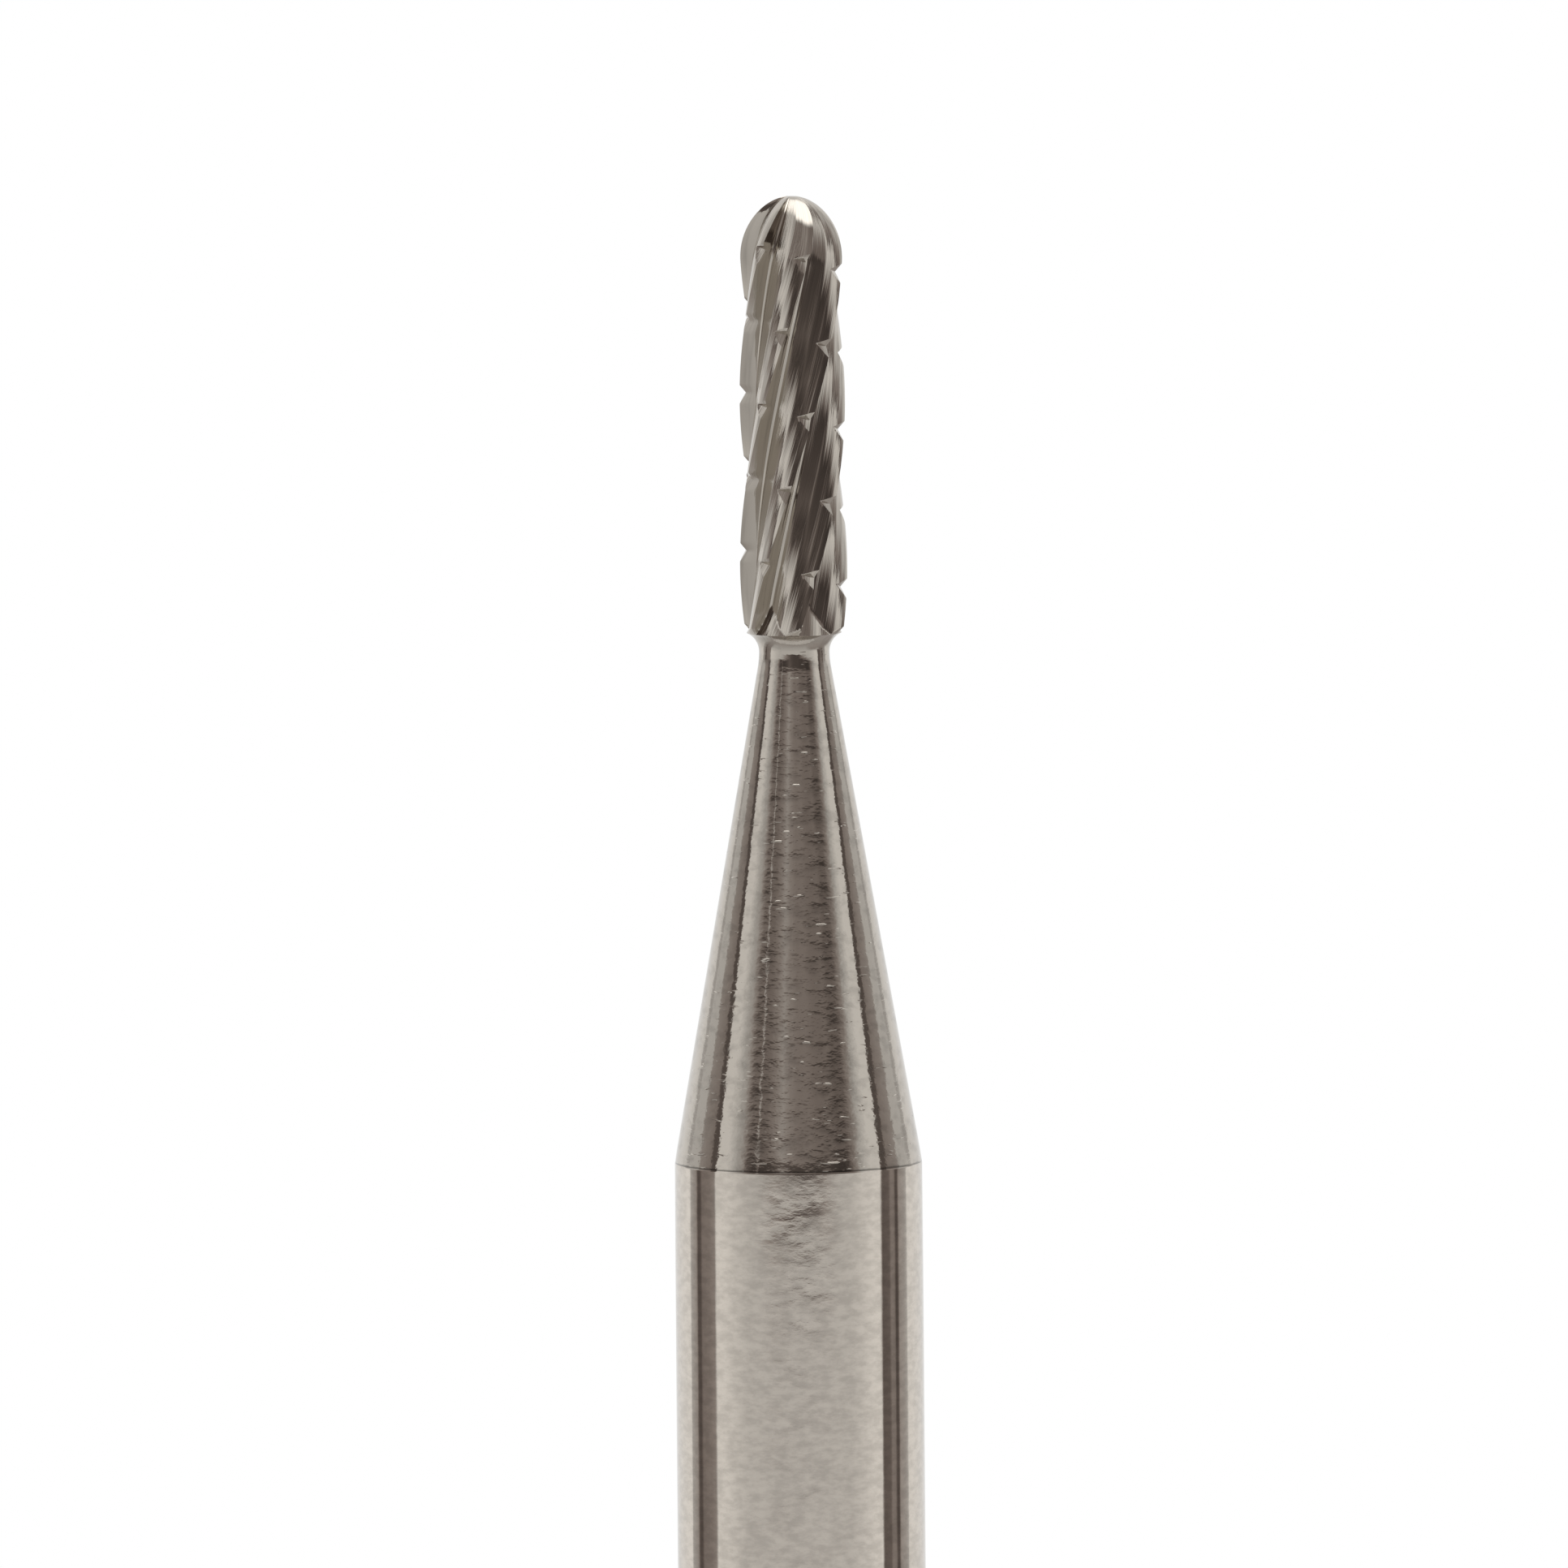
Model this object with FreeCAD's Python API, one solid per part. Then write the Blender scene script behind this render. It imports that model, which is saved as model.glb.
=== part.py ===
import FreeCAD, Part
import math
import os
from FreeCAD import Vector

# Dental bur: a round-end, cross-cut fissure head on a long neck cone, ground in one piece from
# carbide and butt-joined to a plain straight steel shank. Millimetres and degrees. +Z runs along
# the axis to the tip, the origin is the centre of the shank's end face, and angles are counted
# from the front, -Y, towards +X.

# Whole length and shank
OVERALL_LENGTH = 44.5
SHANK_DIAMETER = 2.35
SHANK_CHAMFER = 0.25

# Neck, from the shank up to the blades
CONE_LENGTH = 4.80
NECK_DIAMETER = 0.668
NECK_LENGTH = 0.05
FLARE_RADIUS = 0.20
FLARE_DIAMETER = 0.90

# Head
BLADE_COUNT = 6
HEAD_LENGTH = 4.14
HEAD_BASE_DIAMETER = 1.022
HEAD_TIP_DIAMETER = 0.982
HEEL_HEIGHT = 0.07
DOME_HEIGHT = 0.63
TIP_FLAT_DIAMETER = 0.10
FLUTE_LEAD = 9.5
EDGE_ANGLE = 101.5  # a cutting edge, carried up to the tip's height

# One blade's section. Widths are shares of the way round to the next edge, and radii are shares
# of the cutting edge's radius: the land and the back fall away behind the edge to the gullet.
LAND_WIDTH = 0.217
LAND_HEEL = 0.910
BACK_WIDTH = 0.430
BACK_HEEL = 0.820
GULLET_START = 0.80
GULLET_END = 0.93
GULLET_MOUTH = 0.690
GULLET_FLOOR = 0.672

# Where the flutes run out: a cone closes the gullets between the flare and the head's core
RUNOUT_LENGTH = 0.14
RUNOUT_TOP_DIAMETER = 0.62

# Chip-breaker: one left-hand V groove that winds round the head and nicks every blade
NOTCH_PITCH = 0.745
NOTCH_DEPTH = 0.062
NOTCH_ABOVE = 0.075
NOTCH_BELOW = 0.105
NOTCH_START = 0.555  # depth below the tip at which the groove first faces the front
NOTCH_FIRST_ANGLE = -45.0
NOTCHED_LENGTH = 3.85
NOTCH_BEHIND = 30.0
NOTCH_AHEAD = 14.0
NOTCH_OUTREACH = 2.0  # how far a cutter is drawn outwards, in notch depths

# Steps of the lofted blades
TWIST_STEP = 10.0
DOME_STEPS = 9

NECK_RADIUS = NECK_DIAMETER / 2
FLARE_REACH = FLARE_DIAMETER / 2 - NECK_RADIUS
FLARE_TURN = math.acos(1 - FLARE_REACH / FLARE_RADIUS)
HEAD_FOOT = OVERALL_LENGTH - HEAD_LENGTH
NECK_TOP = HEAD_FOOT - FLARE_RADIUS * math.sin(FLARE_TURN)
CONE_TOP = NECK_TOP - NECK_LENGTH
SHANK_TOP = CONE_TOP - CONE_LENGTH
DOME_FOOT = OVERALL_LENGTH - DOME_HEIGHT
LAST_TURN = math.acos(TIP_FLAT_DIAMETER / HEAD_TIP_DIAMETER)
DOME_RISE = DOME_HEIGHT / math.sin(LAST_TURN)
ORIGIN = Vector(0, 0, 0)
AXIS = Vector(0, 0, 1)


def at(radius, angle, height):
    """The point at an angle from the front."""
    turn = math.radians(angle)
    return Vector(radius * math.sin(turn), -radius * math.cos(turn), height)


def line(start, end):
    """A straight stretch of a turned profile, between (radius, height) pairs."""
    return Part.makeLine(Vector(start[0], 0, start[1]), Vector(end[0], 0, end[1]))


def turned(edges):
    """The solid that a closed profile, beside the axis, makes in one turn."""
    return Part.Face(Part.Wire(edges)).revolve(ORIGIN, AXIS, 360)


def outline(corners):
    """The straight stretches that join a row of (radius, height) pairs."""
    return [line(a, b) for a, b in zip(corners, corners[1:])]


def flare_arc():
    """The concave run from the neck out to the head's foot, tangent to the neck."""
    centre = NECK_RADIUS + FLARE_RADIUS
    points = []
    for turn in (0, FLARE_TURN / 2, FLARE_TURN):
        radius = centre - FLARE_RADIUS * math.cos(turn)
        points.append(Vector(radius, 0, NECK_TOP + FLARE_RADIUS * math.sin(turn)))
    return Part.Arc(*points).toShape()


def edge_angle(height):
    """Where the right-hand spiral of the first cutting edge stands at a height."""
    return EDGE_ANGLE - 360 * (OVERALL_LENGTH - height) / FLUTE_LEAD


def cutting_radius(height):
    """Radius of the cutting edges: a slight taper, and over it half an ellipse to the tip."""
    if height > DOME_FOOT:
        share = (height - DOME_FOOT) / DOME_RISE
        return HEAD_TIP_DIAMETER / 2 * math.sqrt(1 - share**2)
    share = (height - HEAD_FOOT) / (DOME_FOOT - HEAD_FOOT)
    return (HEAD_BASE_DIAMETER + share * (HEAD_TIP_DIAMETER - HEAD_BASE_DIAMETER)) / 2


def section_heights():
    """Even steps of twist up to the round end, and even steps of the ellipse over it."""
    span = DOME_FOOT - CONE_TOP
    steps = math.ceil(360 * span / FLUTE_LEAD / TWIST_STEP)
    straight = [CONE_TOP + span * i / steps for i in range(steps)]
    turns = [LAST_TURN * i / DOME_STEPS for i in range(DOME_STEPS + 1)]
    return straight + [DOME_FOOT + DOME_RISE * math.sin(turn) for turn in turns]


def blade_section(height, edge):
    """Land, back, gullet and rake face, from one cutting edge back to the next."""
    radius = cutting_radius(height)
    pitch = 360 / BLADE_COUNT
    tip, heel, back, start, floor, end, following = (
        at(radius * reach, edge - pitch * behind, height)
        for behind, reach in (
            (0, 1),
            (LAND_WIDTH, LAND_HEEL),
            (BACK_WIDTH, BACK_HEEL),
            (GULLET_START, GULLET_MOUTH),
            ((GULLET_START + GULLET_END) / 2, GULLET_FLOOR),
            (GULLET_END, GULLET_MOUTH),
            (1, 1),
        )
    )
    return [
        Part.makeLine(tip, heel),
        Part.makeLine(heel, back),
        Part.makeLine(back, start),
        Part.Arc(start, floor, end).toShape(),
        Part.makeLine(end, following),
    ]


def head_section(height):
    """The closed outline of all the blades at a height."""
    edges = []
    for k in range(BLADE_COUNT):
        edges += blade_section(height, edge_angle(height) - 360 * k / BLADE_COUNT)
    return Part.Wire(edges)


def blades():
    """The twisted blades, run down past the head and trimmed there at the foot and the heel."""
    loft = Part.makeLoft([head_section(height) for height in section_heights()], True, False, False)
    clear = OVERALL_LENGTH + DOME_HEIGHT
    wide = HEAD_BASE_DIAMETER
    heel = (HEAD_BASE_DIAMETER / 2, HEAD_FOOT + HEEL_HEIGHT)
    around = [(0, HEAD_FOOT), (FLARE_DIAMETER / 2, HEAD_FOOT), heel, (wide, heel[1]), (wide, clear)]
    return loft.common(turned(outline(around + [(0, clear), (0, HEAD_FOOT)])))


def notch_cutter(depth, edge):
    """The V groove where it crosses one cutting edge: a V turned about the axis through a short
    arc, and tilted to the groove's own slope."""
    height = OVERALL_LENGTH - depth
    radius = cutting_radius(height)
    root = Vector(0, NOTCH_DEPTH - radius, 0)
    outer = NOTCH_DEPTH * (1 - NOTCH_OUTREACH) - radius
    above = Vector(0, outer, NOTCH_OUTREACH * NOTCH_ABOVE)
    below = Vector(0, outer, -NOTCH_OUTREACH * NOTCH_BELOW)
    face = Part.Face(Part.makePolygon([root, above, below, root]))
    face.rotate(ORIGIN, AXIS, -NOTCH_BEHIND)
    cutter = face.revolve(ORIGIN, AXIS, NOTCH_BEHIND + NOTCH_AHEAD)
    slope = math.degrees(math.atan(NOTCH_PITCH / (2 * math.pi * radius)))
    cutter.rotate(ORIGIN, Vector(0, -1, 0), slope)
    cutter.rotate(ORIGIN, AXIS, edge)
    cutter.translate(Vector(0, 0, height))
    return cutter


def notch_cutters():
    """The groove sinks by its pitch in each turn to the right, and the blades sink to the left, so
    they cross once a blade: each crossing gets a cutter."""
    pitch = 360 / BLADE_COUNT
    closing = 1 + NOTCH_PITCH / FLUTE_LEAD
    deepest = min(NOTCHED_LENGTH, HEAD_LENGTH - HEEL_HEIGHT - NOTCH_BELOW)
    cutters = []
    blade = math.floor(-EDGE_ANGLE / pitch)
    depth = 0
    while depth <= deepest:
        upper_edge = EDGE_ANGLE + blade * pitch
        depth = (NOTCH_START + NOTCH_PITCH * upper_edge / 360) / closing
        edge = upper_edge - 360 * depth / FLUTE_LEAD
        if edge >= NOTCH_FIRST_ANGLE and depth <= deepest:
            cutters.append(notch_cutter(depth, edge))
        blade += 1
    return cutters


def neck():
    """The long cone from the shank, the short straight neck, the flare, and the run-out cone that
    reaches up into the head's core."""
    foot = (0, SHANK_TOP)
    top = HEAD_FOOT + RUNOUT_LENGTH
    below = [foot, (SHANK_DIAMETER / 2, SHANK_TOP), (NECK_RADIUS, CONE_TOP), (NECK_RADIUS, NECK_TOP)]
    above = [(FLARE_DIAMETER / 2, HEAD_FOOT), (RUNOUT_TOP_DIAMETER / 2, top), (0, top), foot]
    return turned(outline(below) + [flare_arc()] + outline(above))


def carbide_head():
    return blades().cut(notch_cutters()).fuse(neck())


def steel_shank():
    radius = SHANK_DIAMETER / 2
    corners = [
        (0, 0),
        (radius - SHANK_CHAMFER, 0),
        (radius, SHANK_CHAMFER),
        (radius, SHANK_TOP),
        (0, SHANK_TOP),
        (0, 0),
    ]
    return turned(outline(corners))


os.makedirs("parts", exist_ok=True)
for name, shape in (("carbide_head", carbide_head()), ("steel_shank", steel_shank())):
    print(name, "solids", len(shape.Solids), "valid", shape.isValid(), "mm3", round(shape.Volume, 3))
    shape.exportStep("parts/" + name + ".step")
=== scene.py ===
import bpy
import math
import numpy as np
from mathutils import Matrix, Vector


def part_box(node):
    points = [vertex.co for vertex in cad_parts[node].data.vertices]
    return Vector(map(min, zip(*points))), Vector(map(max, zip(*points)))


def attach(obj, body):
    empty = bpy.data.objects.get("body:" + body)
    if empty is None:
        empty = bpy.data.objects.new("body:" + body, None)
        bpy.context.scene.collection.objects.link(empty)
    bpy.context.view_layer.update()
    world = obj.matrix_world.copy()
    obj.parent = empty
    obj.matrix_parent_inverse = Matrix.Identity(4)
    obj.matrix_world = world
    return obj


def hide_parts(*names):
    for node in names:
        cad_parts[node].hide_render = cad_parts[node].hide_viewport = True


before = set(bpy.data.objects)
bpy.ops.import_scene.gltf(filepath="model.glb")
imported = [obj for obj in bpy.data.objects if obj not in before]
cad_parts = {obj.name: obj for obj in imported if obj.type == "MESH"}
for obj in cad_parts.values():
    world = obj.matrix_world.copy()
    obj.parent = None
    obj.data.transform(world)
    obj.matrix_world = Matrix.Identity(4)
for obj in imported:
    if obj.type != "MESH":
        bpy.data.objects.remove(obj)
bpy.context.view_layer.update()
scene = bpy.context.scene
print("frame loaded")

mm = 0.001
shankHigh = np.array(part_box("steel_shank")[1]) / mm
headHigh = np.array(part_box("carbide_head")[1]) / mm
tipHeight = headHigh[2]
jointHeight = shankHigh[2]
shankRadius = shankHigh[0]

# Camera: a long lens, level with the neck and looking a little down, as in the photograph

camera = dict(
    lens=1000.0,
    sensor=36.0,
    frameWidth=14.847,  # millimetres that the picture spans at the bur
    aimLeft=0.108,
    aimBelowTip=5.58,
    elevation=5.0,
    roll=0.47,  # degrees by which the bur leans left
)


def makeCamera(c):
    data = bpy.data.cameras.new("camera")
    data.lens = c["lens"]
    data.sensor_width = c["sensor"]
    distance = c["frameWidth"] * c["lens"] / c["sensor"] * mm
    data.clip_start = distance * 0.1
    data.clip_end = distance * 10
    cam = bpy.data.objects.new("camera", data)
    scene.collection.objects.link(cam)
    tilt = math.radians(c["elevation"])
    cam.location = (
        -c["aimLeft"] * mm,
        -distance * math.cos(tilt),
        (tipHeight - c["aimBelowTip"]) * mm + distance * math.sin(tilt),
    )
    down = Matrix.Rotation(math.pi / 2 - tilt, 3, "X")
    rolled = down @ Matrix.Rotation(-math.radians(c["roll"]), 3, "Z")
    cam.rotation_euler = rolled.to_euler()
    scene.camera = cam


makeCamera(camera)
scene.view_settings.view_transform = "Standard"
print("camera placed")


# Shader maths


class Sock:
    # One socket of a node, with the operators that the materials use
    def __init__(self, tree, out):
        self.tree = tree
        self.out = out

    def maths(self, operation, *values, **settings):
        return node(self.tree, "ShaderNodeMath", dict(operation=operation, **settings), *values)

    def __add__(self, other):
        return self.maths("ADD", self, other)

    __radd__ = __add__

    def __sub__(self, other):
        return self.maths("SUBTRACT", self, other)

    def __rsub__(self, other):
        return self.maths("SUBTRACT", other, self)

    def __mul__(self, other):
        return self.maths("MULTIPLY", self, other)

    __rmul__ = __mul__

    def __truediv__(self, other):
        return self.maths("DIVIDE", self, other)

    def absolute(self):
        return self.maths("ABSOLUTE", self)

    def step(self, low, high):
        # 0 below low, 1 above high, and a smooth rise between them
        return node(
            self.tree,
            "ShaderNodeMapRange",
            dict(interpolation_type="SMOOTHSTEP"),
            self,
            low,
            high,
            0.0,
            1.0,
        )


def node(tree, kind, settings, *values, out=0, **named):
    # Makes a node of any kind: its settings first, then the values or links of its sockets
    made = tree.nodes.new(kind)
    for key, value in settings.items():
        if key == "stops":
            while len(made.color_ramp.elements) < len(value):
                made.color_ramp.elements.new(0.5)
            for element, (place, colour) in zip(made.color_ramp.elements, value):
                element.position = place
                element.color = colour
        else:
            setattr(made, key, value)
    pairs = list(zip(made.inputs, values)) + [(made.inputs[key], value) for key, value in named.items()]
    for socket, value in pairs:
        if value is None:
            continue
        if isinstance(value, Sock):
            tree.links.new(value.out, socket)
        else:
            socket.default_value = value
    return Sock(tree, made.outputs[out])


def blend(tree, amount, first, second):
    # A colour between two colours
    made = tree.nodes.new("ShaderNodeMix")
    made.data_type = "RGBA"
    sockets = (made.inputs["Factor"], made.inputs[6], made.inputs[7])
    for socket, value in zip(sockets, (amount, first, second)):
        if isinstance(value, Sock):
            tree.links.new(value.out, socket)
        else:
            socket.default_value = value
    return Sock(tree, made.outputs[2])


# Meshes


def sharpEdges(mesh, limit, creased):
    # Marks an edge sharp where its two faces turn by more than limit degrees, or where both of its
    # ends lie in one crease column
    edgeCount = len(mesh.edges)
    ends = np.empty(edgeCount * 2, np.int64)
    mesh.edges.foreach_get("vertices", ends)
    ends = ends.reshape(-1, 2)
    normals = np.empty(len(mesh.polygons) * 3)
    mesh.polygons.foreach_get("normal", normals)
    normals = normals.reshape(-1, 3)
    loopEdge = np.empty(len(mesh.loops), np.int64)
    mesh.loops.foreach_get("edge_index", loopEdge)
    starts = np.empty(len(mesh.polygons), np.int64)
    totals = np.empty(len(mesh.polygons), np.int64)
    mesh.polygons.foreach_get("loop_start", starts)
    mesh.polygons.foreach_get("loop_total", totals)
    loopFace = np.repeat(np.arange(len(mesh.polygons)), totals)
    order = np.argsort(loopEdge, kind="stable")
    sortedEdge = loopEdge[order]
    sortedFace = loopFace[order]
    pair = np.nonzero(sortedEdge[1:] == sortedEdge[:-1])[0]
    cosine = np.einsum("ij,ij->i", normals[sortedFace[pair]], normals[sortedFace[pair + 1]])
    sharp = np.zeros(edgeCount, bool)
    sharp[sortedEdge[pair]] = cosine < math.cos(math.radians(limit))
    column = creased[ends]
    sharp |= (column[:, 0] >= 0) & (column[:, 0] == column[:, 1])
    layer = mesh.attributes.new("sharp_edge", "BOOLEAN", "EDGE")
    layer.data.foreach_set("value", sharp)


def ringMesh(name, points, uv, poleUv, limit, creased):
    # A surface of rings: points is rings by columns, each ring closed on itself, with a pole point
    # at each end. uv has one column more than points, so that the last strip isn't folded back.
    rings, columns = points.shape[:2]
    poles = points[[0, -1]].mean(axis=1)
    verts = np.concatenate([points.reshape(-1, 3), poles]) * mm
    index = np.arange(rings * columns).reshape(rings, columns)
    right = np.roll(index, -1, axis=1)
    quads = np.stack([index[:-1], index[1:], right[1:], right[:-1]], axis=-1).reshape(-1, 4)
    top = np.stack([np.full(columns, rings * columns), index[0], right[0]], axis=-1)
    bottom = np.stack([np.full(columns, rings * columns + 1), right[-1], index[-1]], axis=-1)
    mesh = bpy.data.meshes.new(name)
    mesh.from_pydata(verts, [], quads.tolist() + top.tolist() + bottom.tolist())
    mesh.update(calc_edges=True)
    uvIndex = np.arange(rings * (columns + 1)).reshape(rings, columns + 1)
    near, far = uvIndex[:, :-1], uvIndex[:, 1:]
    flat = uv.reshape(-1, 2)
    quadUv = flat[np.stack([near[:-1], near[1:], far[1:], far[:-1]], axis=-1).reshape(-1)]
    topUv = np.stack([np.broadcast_to(poleUv[0], (columns, 2)), flat[near[0]], flat[far[0]]], axis=1)
    bottomUv = np.stack([np.broadcast_to(poleUv[1], (columns, 2)), flat[far[-1]], flat[near[-1]]], axis=1)
    allUv = np.concatenate([quadUv, topUv.reshape(-1, 2), bottomUv.reshape(-1, 2)])
    layer = mesh.uv_layers.new(name="along")
    layer.data.foreach_set("uv", allUv.astype(np.float32).ravel())
    mesh.shade_smooth()
    marks = np.full(len(verts), -1)
    marks[: rings * columns] = np.tile(creased, rings)
    sharpEdges(mesh, limit, marks)
    piece = bpy.data.objects.new(name, mesh)
    scene.collection.objects.link(piece)
    return piece


shank = dict(
    chamfer=0.25,
    rollOff=0.003,  # how far the last of the shank rolls in towards the joint
    rollLength=1.60,
    edgeBreak=0.002,  # how far the edge at the joint is broken inwards
    breakHeight=0.008,
    columns=192,
    rows=60,
)

# The carbide head: blades, gullets and notches, then the flare and the neck cone

head = dict(
    neckDiameter=0.668,
    coneTopBlend=0.14,  # lengths over which the cone's ends turn into the neck and the shank
    coneFootBlend=0.16,
    coneFootSlope=0.8,  # share of the cone's slope that is left at its foot
    flareRadius=0.20,
    flareDiameter=0.90,
    blades=6,
    length=4.14,
    baseDiameter=1.022,
    tipDiameter=0.982,
    heel=0.07,
    dome=0.63,
    tipFlat=0.10,
    lead=9.5,
    edgeAngle=101.5,
    nose=(0.08, 0.972),  # share of the way back to the next edge, and share of the radius
    land=(0.217, 0.910),
    back=(0.430, 0.820),
    gullet=(0.80, 0.93, 0.690),
    floor=0.672,
    blending=0.05,  # share of the way over which the corners of the section are rounded
    sectionSteps=800,
    runoutLength=0.42,
    runoutTop=0.66,
    notchPitch=0.745,
    notchDepth=0.062,
    notchAbove=0.075,
    notchBelow=0.105,
    notchStart=0.555,
    notchFirst=-45.0,
    notches=5,  # on each blade
    columns=(12, 10, 14, 12, 6),  # across the land, the back, the slope, the gullet and the rake face
    tipCrowding=1.8,  # power that draws the rows together towards the tip
    far=10.0,  # a radius past everything, where no notch cuts
    rows=dict(tip=48, above=4, below=5, between=28, last=26, heel=8, flare=16, cone=40),
    hold=0.45,  # rows follow a blade's own notches this far behind its edge
    narrowest=0.12,
)


def cuttingRadius(h, depth):
    # Radius of the cutting edges at a depth below the tip: a slight taper, and half an ellipse
    radius = h["tipDiameter"] / 2
    lastTurn = math.acos(h["tipFlat"] / h["tipDiameter"])
    rise = h["dome"] / math.sin(lastTurn)
    share = np.clip((h["dome"] - depth) / rise, 0, 1)
    growth = (h["baseDiameter"] - h["tipDiameter"]) / 2
    side = radius + growth * (depth - h["dome"]) / (h["length"] - h["dome"])
    return np.where(depth < h["dome"], radius * np.sqrt(1 - share**2), side)


def chord(first, second, share, pitch):
    # Radius of the straight line between two (share, radius) points, read at a share between them
    a = np.radians(pitch * (second[0] - share))
    b = np.radians(pitch * (share - first[0]))
    whole = math.sin(math.radians(pitch * (second[0] - first[0])))
    return first[1] * second[1] * whole / (first[1] * np.sin(b) + second[1] * np.sin(a))


def bladeSection(h):
    # Columns of one blade, from its cutting edge back to the foot of the next rake face: straight
    # nose, land, back and slope with softly rounded corners, and a gullet rounded as a parabola
    pitch = 360 / h["blades"]
    corners = [(0, 1), h["nose"], h["land"], h["back"], (h["gullet"][0], h["gullet"][2])]
    steps = h["sectionSteps"]
    fine = np.linspace(0, h["gullet"][0], steps + 1)
    straight = np.concatenate(
        [
            chord(first, second, fine[(fine >= first[0]) & (fine < second[0])], pitch)
            for first, second in zip(corners, corners[1:])
        ]
        + [[h["gullet"][2]]]
    )
    window = int(round(h["blending"] / fine[1] / 2))
    place = np.arange(steps + 1)
    reach = np.minimum(np.minimum(place, steps - place), window)
    total = np.concatenate([[0], np.cumsum(straight)])
    soft = (total[place + reach + 1] - total[place - reach]) / (2 * reach + 1)
    bounds = [0, h["land"][0], h["back"][0], h["gullet"][0]]
    shares = [np.linspace(a, b, n, endpoint=False) for a, b, n in zip(bounds, bounds[1:], h["columns"])]
    radii = [np.interp(share, fine, soft) for share in shares]
    across = np.linspace(-1, 1, h["columns"][3] + 1)
    middle = (h["gullet"][0] + h["gullet"][1]) / 2
    shares.append(middle + across * (h["gullet"][1] - h["gullet"][0]) / 2)
    radii.append(h["floor"] + (h["gullet"][2] - h["floor"]) * across**2)
    return np.concatenate(shares), np.concatenate(radii)


def notchDepths(h):
    # Where the left-hand groove crosses each blade: the groove sinks by its pitch in a turn to the
    # right, the blade by its lead in a turn to the left. Blades by notches.
    pitch = 360 / h["blades"]
    closing = 1 + h["notchPitch"] / h["lead"]
    upper = h["edgeAngle"] - pitch * np.arange(h["blades"])[:, None] + 360.0 * np.arange(-2, 12)[None, :]
    depth = (h["notchStart"] + h["notchPitch"] * upper / 360) / closing
    edge = upper - 360 * depth / h["lead"]
    first = np.argmax(edge >= h["notchFirst"], axis=1)
    pick = first[:, None] + np.arange(h["notches"])[None, :]
    return np.take_along_axis(depth, pick, axis=1)


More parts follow.
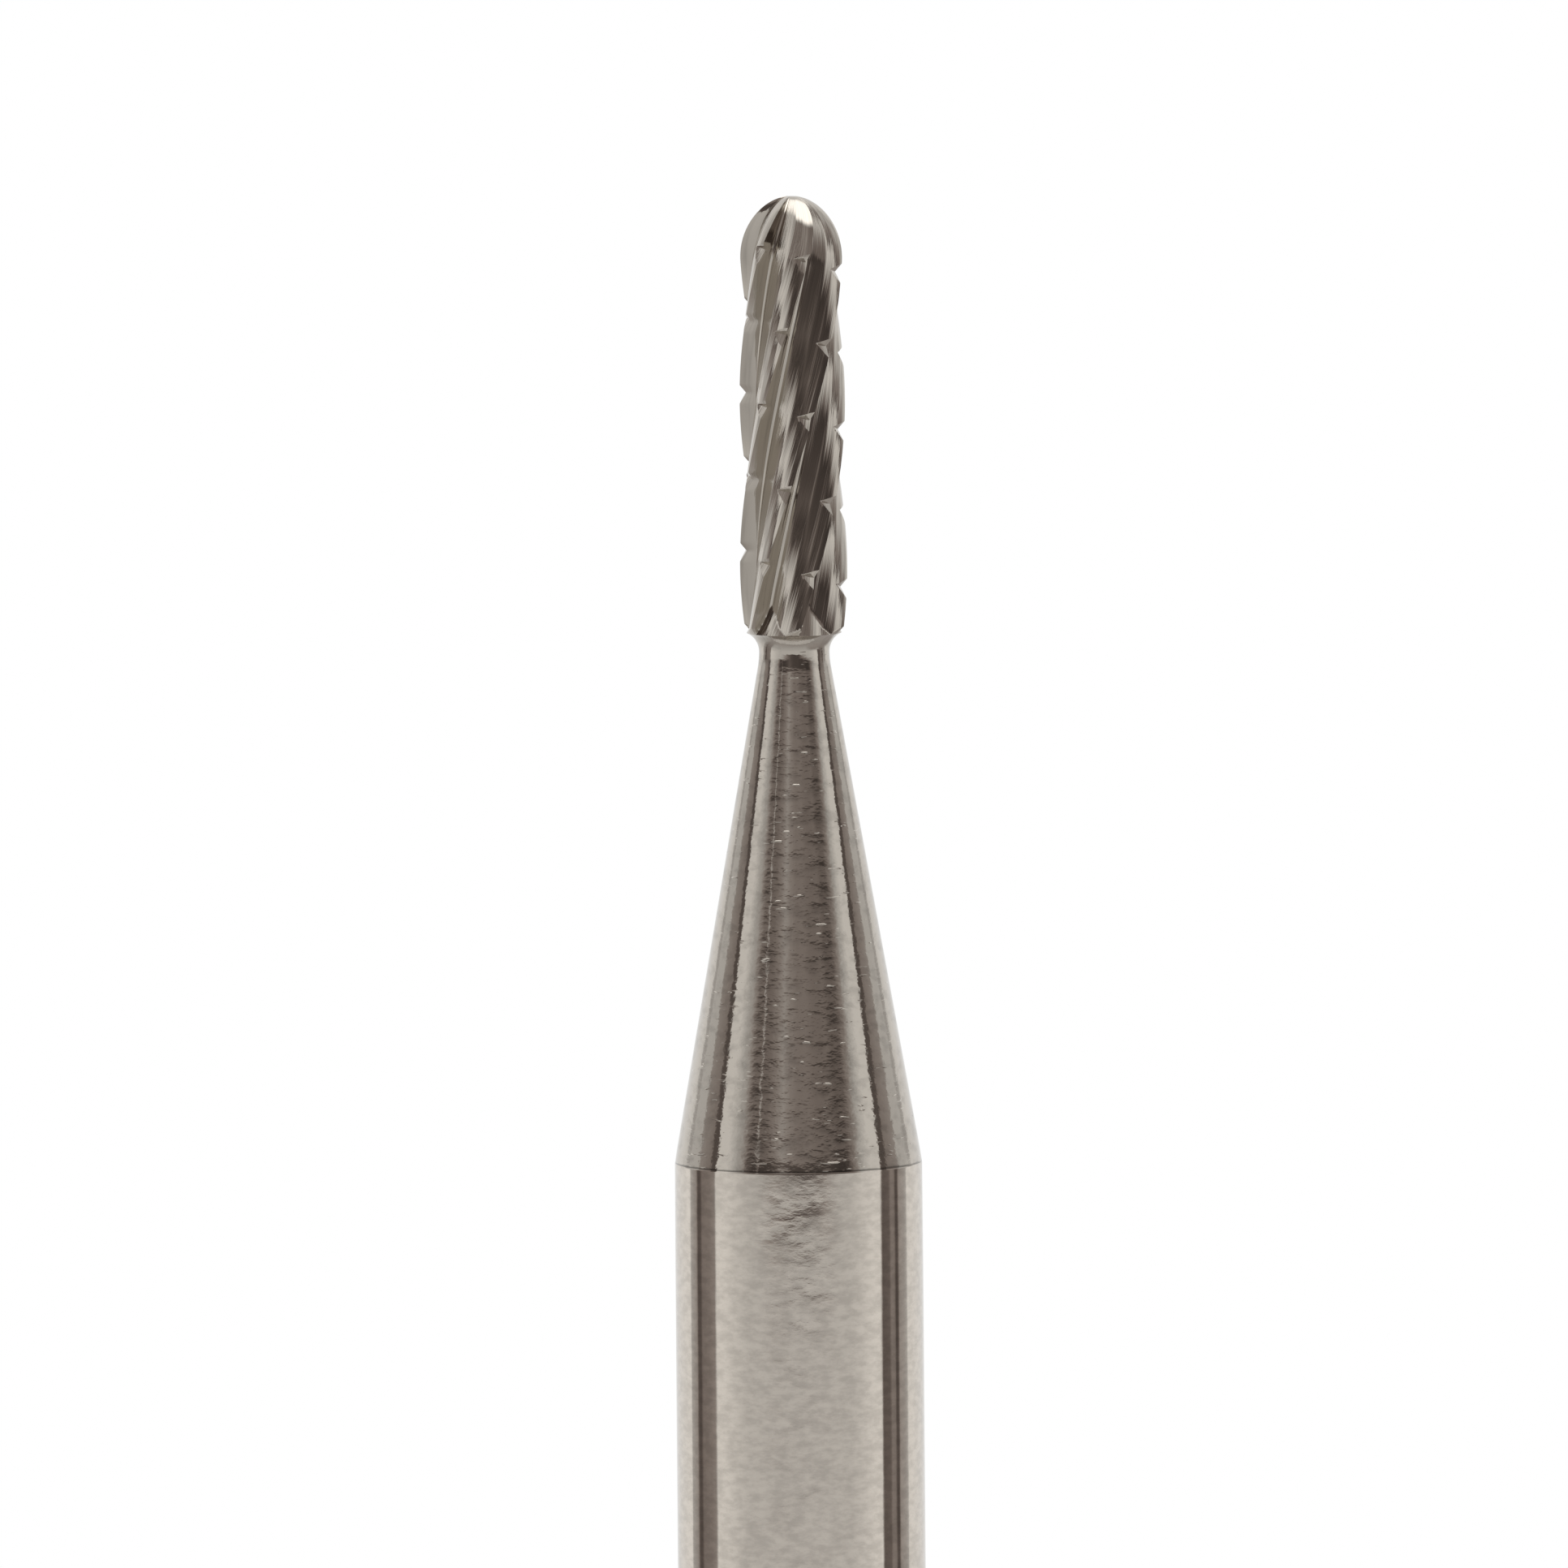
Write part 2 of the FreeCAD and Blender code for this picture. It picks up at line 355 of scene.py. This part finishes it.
def headSurface(h):
    # Rings of the fluted head from the tip to the neck. Each blade's rows run along its own
    # notches, so that their roots and rims are lines of the mesh, and shift to the next blade's
    # rows across the gullet between them.
    blades = h["blades"]
    pitch = 360 / blades
    rows = h["rows"]
    shares, reach = bladeSection(h)
    rakeCount = h["columns"][4]
    rakeShares = np.linspace(h["gullet"][1], 1, rakeCount, endpoint=False)[1:]
    allShares = np.concatenate([shares, rakeShares])
    depths = notchDepths(h)
    flareReach = (h["flareDiameter"] - h["neckDiameter"]) / 2
    flareTurn = math.acos(1 - flareReach / h["flareRadius"])
    flareHeight = h["flareRadius"] * math.sin(flareTurn)

    radiusAtNotch = cuttingRadius(h, depths)
    slope = np.arctan(h["notchPitch"] / (2 * math.pi * radiusAtNotch))
    rootRadius = radiusAtNotch - h["notchDepth"]

    def rootDepth(share):
        # Depth of each notch's root line, a share behind the edge: (blades, notches, columns)
        behind = np.radians(pitch * share)[None, None, :]
        fall = (radiusAtNotch * np.sin(slope))[:, :, None]
        line = depths[:, :, None] - fall * np.sin(behind)
        behindThere = behind + np.radians(360 / h["lead"]) * (line - depths[:, :, None])
        return depths[:, :, None] - fall * np.sin(behindThere)

    held = np.minimum(allShares, h["hold"])
    isRake = allShares > h["gullet"][1] - 1e-9
    held = np.where(isRake, 0, held)
    root = rootDepth(held)
    surface = np.interp(held, shares, reach)[None, None, :] * radiusAtNotch[:, :, None]
    opening = np.clip((surface - rootRadius[:, :, None]) / h["notchDepth"], h["narrowest"], 1)
    start = np.zeros((blades, 1, len(allShares)))
    foot = h["length"]
    lines = [start]
    kinds = ["tip"]
    for n in range(h["notches"]):
        lines += [root[:, n : n + 1] - h["notchAbove"] * opening[:, n : n + 1]]
        lines += [root[:, n : n + 1], root[:, n : n + 1] + h["notchBelow"] * opening[:, n : n + 1]]
        kinds += ["above", "below", "between" if n < h["notches"] - 1 else "last"]
    lines += [start + foot - h["heel"], start + foot, start + foot + flareHeight]
    kinds += ["heel", "flare"]
    lines = np.concatenate(lines, axis=1)

    # across the gullet the rows pass from this blade's lines to the next one's
    following = np.roll(lines, -1, axis=0)
    crossing = np.clip((allShares - h["hold"]) / (h["gullet"][1] - h["hold"]), 0, 1)
    crossing = crossing * crossing * (3 - 2 * crossing)
    own = np.where(isRake[None, None, :], 0, lines)
    lines = (1 - crossing) * own + crossing * following

    interval, share = [], []
    for i, kind in enumerate(kinds):
        part = np.arange(rows[kind]) / rows[kind]
        if kind == "tip":
            part = part ** h["tipCrowding"]
        interval += [i] * rows[kind]
        share += list(part)
    interval += [len(kinds) - 1]
    share += [1.0]
    interval = np.array(interval)
    share = np.array(share)[None, :, None]
    depth = (1 - share) * lines[:, interval] + share * lines[:, interval + 1]
    depth = depth.transpose(1, 0, 2)  # rows, blades, columns

    # the groove cuts a V into whatever stands out past its root
    edge = cuttingRadius(h, depth)
    nearest = np.full(depth.shape, h["far"])
    for n in range(h["notches"]):
        line = root[:, n][None]
        own = np.where(isRake, np.roll(line, -1, axis=1), line)
        rootR = rootRadius[:, n][None, :, None]
        rootR = np.where(isRake, np.roll(rootR, -1, axis=1), rootR)
        off = depth - own
        rise = np.maximum(-off / h["notchAbove"], off / h["notchBelow"]) * h["notchDepth"]
        nearest = np.minimum(nearest, rootR + rise)
    inHold = isRake | (allShares <= h["hold"])
    nearest = np.where(inHold, nearest, h["far"])

    # heel bevel and flare
    baseRadius = h["baseDiameter"] / 2
    flareRadius = h["flareDiameter"] / 2
    bevel = flareRadius + (baseRadius - flareRadius) * (foot - depth) / h["heel"]
    up = np.clip(foot + flareHeight - depth, 0, None)
    arc = h["neckDiameter"] / 2 + h["flareRadius"]
    arc = arc - np.sqrt(np.clip(h["flareRadius"] ** 2 - up**2, 0, None))
    # where the gullets run out, a parabola widens from the core to the flare
    near = np.clip(1 - (foot - depth) / h["runoutLength"], 0, 1)
    runout = h["runoutTop"] / 2 + (flareRadius - h["runoutTop"] / 2) * near**2
    runout = np.where(near > 0, runout, 0)

    sectionRadius = np.concatenate([reach, np.ones(len(rakeShares))])
    radius = np.minimum(edge * sectionRadius, nearest)
    # the rake face runs from the gullet up to whatever height the notches leave the next edge
    top = np.roll(radius[:, :, 0], -1, axis=1)[:, :, None]
    climb = (allShares - h["gullet"][1]) / (1 - h["gullet"][1])
    footRadius = edge * h["gullet"][2]
    radius = np.where(isRake, footRadius + (top - footRadius) * climb, radius)
    radius = np.minimum(radius, bevel)
    radius = np.where(depth < foot, np.maximum(radius, runout), arc)

    turn = h["edgeAngle"] - 360 * depth / h["lead"]
    turn = turn - pitch * (np.arange(blades)[None, :, None] + allShares)
    flat = (len(depth), -1)
    return radius.reshape(flat), turn.reshape(flat), depth.reshape(flat), allShares


def ringPoints(radius, turn, height):
    # Angles are counted from the front, -Y, towards +X
    angle = np.radians(turn)
    return np.stack([radius * np.sin(angle), -radius * np.cos(angle), height], axis=-1)


def coneWidening(h, along, length):
    # How far the cone has widened: its slope rises evenly from 0 over the top blend and falls
    # evenly to a share of itself over the foot blend, so each end is a parabola
    top, foot, lost = h["coneTopBlend"], h["coneFootBlend"], 1 - h["coneFootSlope"]
    whole = shankRadius - shank["rollOff"] - shank["edgeBreak"] - h["neckDiameter"] / 2
    slope = whole / (length - (top + lost * foot) / 2)
    early = np.minimum(along, top)
    late = np.clip(along - (length - foot), 0, None)
    return slope * (early**2 / (2 * top) + np.clip(along - top, 0, None) - lost * late**2 / (2 * foot))


def makeHead(h):
    # The fluted rings, then rings of the cone at the radius that the neck has widened to
    radius, turn, depth, shares = headSurface(h)
    neckDepth = depth[-1, 0]
    jointDepth = tipHeight - jointHeight
    share = np.arange(1, h["rows"]["cone"] + 1) / h["rows"]["cone"]
    share = (1 - np.cos(np.pi * share)) / 2  # rows crowd towards the rounded ends
    lowDepth = neckDepth + (jointDepth - neckDepth) * share
    lowRadius = h["neckDiameter"] / 2 + coneWidening(h, lowDepth - neckDepth, jointDepth - neckDepth)
    columns = radius.shape[1]
    radius = np.concatenate([radius, np.repeat(lowRadius[:, None], columns, axis=1)])
    turn = np.concatenate([turn, np.repeat(turn[-1:], len(lowDepth), axis=0)])
    depth = np.concatenate([depth, np.repeat(lowDepth[:, None], columns, axis=1)])
    points = ringPoints(radius, turn, tipHeight - depth)
    points = points[:, ::-1]  # columns were laid out to the left, and rings run to the right
    around = (np.arange(h["blades"])[:, None] + shares).ravel()
    around = np.append(around, h["blades"])[::-1]
    along = np.append(depth[:, ::-1], depth[:, -1:], axis=1)
    uv = np.stack(np.broadcast_arrays(around[None, :], along), axis=-1)
    creased = np.full((h["blades"], len(shares)), -1)
    creased[:, 0] = np.arange(h["blades"])  # the cutting edges stay sharp
    creased = creased.ravel()[::-1]
    poleUv = ((0.0, 0.0), (0.0, jointDepth))
    return ringMesh("burHead", points, uv, poleUv, 24.0, creased)


burHead = makeHead(head)
print("head", len(burHead.data.polygons), "faces")


# The steel shank


def makeShank(s):
    # A turned profile: broken edge at the joint, parabolic roll-off, long cylinder, chamfer, end face
    share = np.linspace(0, 1, s["rows"])
    top = jointHeight - s["breakHeight"]
    heights = top - (top - s["chamfer"]) * share**2
    near = np.clip(1 - (top - heights) / s["rollLength"], 0, 1)
    radii = shankRadius - s["rollOff"] * near**2
    joint = shankRadius - s["rollOff"] - s["edgeBreak"]
    ends = np.array([[joint, jointHeight], [shankRadius - s["chamfer"], 0.0]])
    profile = np.concatenate([ends[:1], np.stack([radii, heights], axis=1), ends[1:]])
    turn = np.linspace(0, 360, s["columns"], endpoint=False)
    radius = np.repeat(profile[:, :1], s["columns"], axis=1)
    height = np.repeat(profile[:, 1:], s["columns"], axis=1)
    points = ringPoints(radius, np.broadcast_to(turn, radius.shape), height)
    around = np.linspace(0, 1, s["columns"] + 1)
    along = np.append(height, height[:, :1], axis=1)
    uv = np.stack(np.broadcast_arrays(around[None, :], along), axis=-1)
    poleUv = ((0.0, jointHeight), (0.0, 0.0))
    return ringMesh("burShank", points, uv, poleUv, 20.0, np.full(s["columns"], -1))


burShank = makeShank(shank)
print("shank", len(burShank.data.polygons), "faces")

# Materials

carbideFinish = dict(
    colour=(0.490, 0.450, 0.398),
    shade=0.82,  # how dark the streaks and mottles are, as a share of the colour
    roughness=(0.04, 0.10),
    streaks=(20.0, 0.7),  # grinding marks: how often across a blade's pitch, and along a millimetre
    streakHeight=0.0022,  # millimetres
    ticks=(6.0, 34.0),  # short nicks round the cone: how often in a millimetre, across and up
    tickShare=(0.675, 0.82),  # where the noise makes a nick, and where it is at its full height
    tickHeight=0.0038,
    mottles=(5.0, 9.0),
    mottleHeight=0.0034,
    toneShare=(0.30, 0.54),  # where the noise is at the dark colour, and where at the full one
    coneStart=(-0.02, 0.10),  # from the head's foot down, where the cone's finish sets in
    seam=(0.016, 0.40),  # height of the dark line at the joint, and its share of the colour
)
steelFinish = dict(
    colour=(0.596, 0.545, 0.483),
    shade=0.80,
    roughness=(0.03, 0.07),
    marks=(7.0, 14.0),
    markHeight=0.0002,
    mottles=(2.5, 3.5),
    mottleHeight=0.0009,
    toneShare=(0.3, 0.7),
)


def newMaterial(name):
    material = bpy.data.materials.new(name)
    material.use_nodes = True
    tree = material.node_tree
    tree.nodes.clear()
    return material, tree


def stretched(tree, place, across, up):
    # Coordinates in millimetres, scaled apart round the axis and along it
    scale = (across / mm, across / mm, up / mm)
    return node(tree, "ShaderNodeVectorMath", dict(operation="MULTIPLY"), place, scale)


def noise(tree, place, detail=2.0, roughness=0.5):
    return node(tree, "ShaderNodeTexNoise", {}, Vector=place, Scale=1.0, Detail=detail, Roughness=roughness)


def finish(tree, colour, roughness, height):
    # A metal whose bumps are given in millimetres
    normal = node(tree, "ShaderNodeBump", {}, Strength=1.0, Distance=mm, Height=height)
    shader = node(
        tree,
        "ShaderNodeBsdfPrincipled",
        {},
        **{"Base Color": colour, "Metallic": 1.0, "Roughness": roughness, "Normal": normal},
    )
    out = tree.nodes.new("ShaderNodeOutputMaterial")
    tree.links.new(shader.out, out.inputs["Surface"])


def shades(f):
    # The finish's dark and full colours
    return (*(part * f["shade"] for part in f["colour"]), 1), (*f["colour"], 1)


def groundCarbide(f, h):
    # Streaks run along the blades, whose spiral the UV map follows, and nicks run round the cone
    material, tree = newMaterial("ground carbide")
    place = node(tree, "ShaderNodeTexCoord", {}, out="Object")
    along = node(tree, "ShaderNodeUVMap", dict(uv_map="along"))
    blade = node(tree, "ShaderNodeVectorMath", dict(operation="MULTIPLY"), along, (*f["streaks"], 1.0))
    streak = noise(tree, blade, 3.0, 0.6)
    depth = node(tree, "ShaderNodeSeparateXYZ", {}, along, out="Y")
    onCone = depth.step(*(h["length"] + below for below in f["coneStart"]))
    ticks = noise(tree, stretched(tree, place, *f["ticks"]), 1.0, 0.5).step(*f["tickShare"])
    mottles = noise(tree, stretched(tree, place, *f["mottles"]), 3.0, 0.55)
    coneHeight = ticks * f["tickHeight"] + mottles * f["mottleHeight"]
    bladeHeight = streak * f["streakHeight"]
    height = bladeHeight + onCone * (coneHeight - bladeHeight)
    tone = (streak + onCone * (mottles - streak)).step(*f["toneShare"])
    dark, full = shades(f)
    colour = blend(tree, tone, dark, full)
    fromJoint = (tipHeight - jointHeight) - depth + (mottles - 0.5) * f["seam"][0] * 2
    seam = fromJoint.step(f["seam"][0] * 0.5, f["seam"][0] * 1.5)
    black = (*(part * f["seam"][1] for part in f["colour"]), 1)
    colour = blend(tree, seam, black, colour)
    low, high = f["roughness"]
    finish(tree, colour, high - tone * (high - low), height)
    return material


def turnedSteel(f):
    # Faint marks round the shank over broader mottles
    material, tree = newMaterial("turned steel")
    place = node(tree, "ShaderNodeTexCoord", {}, out="Object")
    marks = noise(tree, stretched(tree, place, *f["marks"]), 3.0, 0.6)
    mottles = noise(tree, stretched(tree, place, *f["mottles"]), 2.0, 0.5)
    dark, full = shades(f)
    colour = blend(tree, marks.step(*f["toneShare"]), dark, full)
    height = marks * f["markHeight"] + mottles * f["mottleHeight"]
    low, high = f["roughness"]
    finish(tree, colour, low + mottles.step(*f["toneShare"]) * (high - low), height)
    return material


burHead.data.materials.append(groundCarbide(carbideFinish, head))
burShank.data.materials.append(turnedSteel(steelFinish))

# Surroundings

room = dict(
    floorRadius=0.022,
    floorColour=(0.60, 0.60, 0.60),
    floorLift=(0.36, 0.12),  # light added to the floor where the camera sees it, and in the metal
    # levels of light by degrees round from the camera's side: to either side of it above the
    # horizon, then all round above the horizon and below it
    front=(
        (-64, 0.84), (-56, 0.52), (-48, 0.27), (-36, 0.24), (-32, 0.25), (-24, 0.34), (-16, 0.49),
        (-9, 0.37), (0, 0.30), (10, 0.30), (18, 0.26), (26, 0.25), (33, 0.26), (40, 0.20),
        (48, 0.22), (56, 0.37), (64, 0.66),
    ),
    above=(
        (0, 0.25), (56, 0.42), (64, 0.74), (72, 0.98), (83, 0.98), (84.5, 0.12), (90, 0.13), (92, 0.30),
        (107, 0.42), (109, 0.72), (123, 0.72), (126, 0.56), (130, 0.58), (133, 0.94), (146, 1.00),
        (160, 0.94), (180, 0.92),
    ),
    belowLeft=(
        (0, 0.75), (48, 0.76), (60, 0.85), (74, 0.99), (84, 1.00), (86, 0.36), (92, 0.29), (103, 0.25),
        (105.5, 0.12), (109.5, 0.12), (112, 0.42), (121, 0.60), (123, 1.06), (140, 1.02), (160, 0.92),
        (180, 0.90),
    ),
    belowRight=(
        (0, 0.75), (48, 0.76), (60, 0.87), (74, 1.02), (82, 1.02), (84, 0.15), (93, 0.17), (95.5, 0.30),
        (100, 0.28), (102, 0.11), (105, 0.11), (107, 0.42), (115, 0.50), (119, 0.62), (121, 1.04),
        (140, 1.00), (160, 0.92), (180, 0.90),
    ),
    horizon=(-1.5, 4.0),
    edge=(10.0, 50.0, -5.40, -4.90),  # towards the camera the pale table ends lower: azimuths, elevations
    dusk=(44.0, 58.0, 11.0, 14.0, 0.68),  # the front is darker below an elevation: edges, and by how much
    pit=(-30.0, -18.0, 40.0, 60.0, 0.35),  # low down on the right it falls away to a dark pit
    under=(-60.0, -12.0, 0.50),  # and straight below the pale table is in its own shade
    warmth=(1.18, 1.00, 0.94),  # tint of the dark parts
    warmLevels=(0.05, 0.7),  # the tint fades between these levels of light
    frontEdges=(56.0, 62.0),  # azimuths over which the front gives way to the sides
    lamp=(54.0, 64.0, 2.4),  # elevations over which the light overhead sets in, and its level
    line=(-40.0, 1.3, 0.30),  # azimuth, half width and level of a slim light panel
)


def makeFloor(r):
    # A flat disc at the height of the shank's end face
    turn = np.linspace(0, 360, 128, endpoint=False)
    points = ringPoints(np.full((1, 128), r["floorRadius"]), turn[None, :], np.zeros((1, 128)))[0]
    mesh = bpy.data.meshes.new("floor")
    mesh.from_pydata(points, [], [list(range(128))])
    floor = bpy.data.objects.new("floor", mesh)
    scene.collection.objects.link(floor)
    material, tree = newMaterial("pale floor")
    shader = node(tree, "ShaderNodeBsdfDiffuse", {}, (*r["floorColour"], 1))
    path = tree.nodes.new("ShaderNodeLightPath")
    seen, mirrored = (Sock(tree, path.outputs[key]) for key in ("Is Camera Ray", "Is Glossy Ray"))
    added = seen * r["floorLift"][0] + mirrored * r["floorLift"][1]
    lift = node(tree, "ShaderNodeEmission", {}, (1, 1, 1, 1), added)
    both = node(tree, "ShaderNodeAddShader", {}, shader, lift)
    out = tree.nodes.new("ShaderNodeOutputMaterial")
    tree.links.new(both.out, out.inputs["Surface"])
    mesh.materials.append(material)


def ramp(tree, value, stops, span):
    # A level that follows straight lines between (place, level) stops
    low, high = span
    colours = [((place - low) / (high - low), (level / 2, level / 2, level / 2, 1)) for place, level in stops]
    return node(tree, "ShaderNodeValToRGB", dict(stops=colours), (value - low) / (high - low)) * 2


def makeWorld(r):
    # Azimuth is counted from the camera's side, and elevation from the horizon, both in degrees
    world = bpy.data.worlds.new("studio")
    scene.world = world
    world.use_nodes = True
    tree = world.node_tree
    tree.nodes.clear()
    coord = tree.nodes.new("ShaderNodeTexCoord")
    split = node(tree, "ShaderNodeSeparateXYZ", {}, Sock(tree, coord.outputs["Generated"]))
    parts = split.out.node.outputs
    x, y, z = (Sock(tree, parts[i]) for i in range(3))
    azimuth = x.maths("ARCTAN2", x, y * -1.0) * math.degrees(1)
    elevation = z.maths("ARCSINE", z) * math.degrees(1)
    side = azimuth.absolute()
    place, half, bright = r["line"]
    line = 1 - (azimuth - place).absolute().step(half * 0.6, half)
    facing = ramp(tree, azimuth, r["front"], (-64, 64)) + line * bright
    upper = facing + side.step(*r["frontEdges"]) * (ramp(tree, side, r["above"], (0, 180)) - facing)
    left = ramp(tree, side, r["belowLeft"], (0, 180))
    right = ramp(tree, side, r["belowRight"], (0, 180))
    lower = left + azimuth.step(-1, 1) * (right - left)
    frontEdge, sideEdge, dark, light, share = r["dusk"]
    upper = upper * (1 - (1 - side.step(frontEdge, sideEdge)) * (1 - elevation.step(dark, light)) * share)
    deep, shallow, frontEdge, sideEdge, dark = r["pit"]
    inPit = azimuth.step(frontEdge, sideEdge) * (1 - elevation.step(deep, shallow))
    lower = lower + inPit * (dark - lower)
    lower = r["under"][2] + elevation.step(*r["under"][:2]) * (lower - r["under"][2])
    frontEdge, sideEdge, low, high = r["edge"]
    sideRise = elevation.step(*r["horizon"])
    rise = elevation.step(low, high)
    rise = rise + side.step(frontEdge, sideEdge) * (sideRise - rise)
    level = lower + rise * (upper - lower)
    level = level + elevation.step(*r["lamp"][:2]) * (r["lamp"][2] - level)
    path = tree.nodes.new("ShaderNodeLightPath")
    seen = Sock(tree, path.outputs["Is Camera Ray"])
    level = level + seen * (1 - level)
    tint = blend(tree, level.step(*r["warmLevels"]), (*r["warmth"], 1), (1, 1, 1, 1))
    background = node(tree, "ShaderNodeBackground", {}, tint, level)
    out = tree.nodes.new("ShaderNodeOutputWorld")
    tree.links.new(background.out, out.inputs["Surface"])


makeFloor(room)
makeWorld(room)
print("surroundings made")

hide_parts("carbide_head")
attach(burHead, "root")
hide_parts("steel_shank")
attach(burShank, "root")
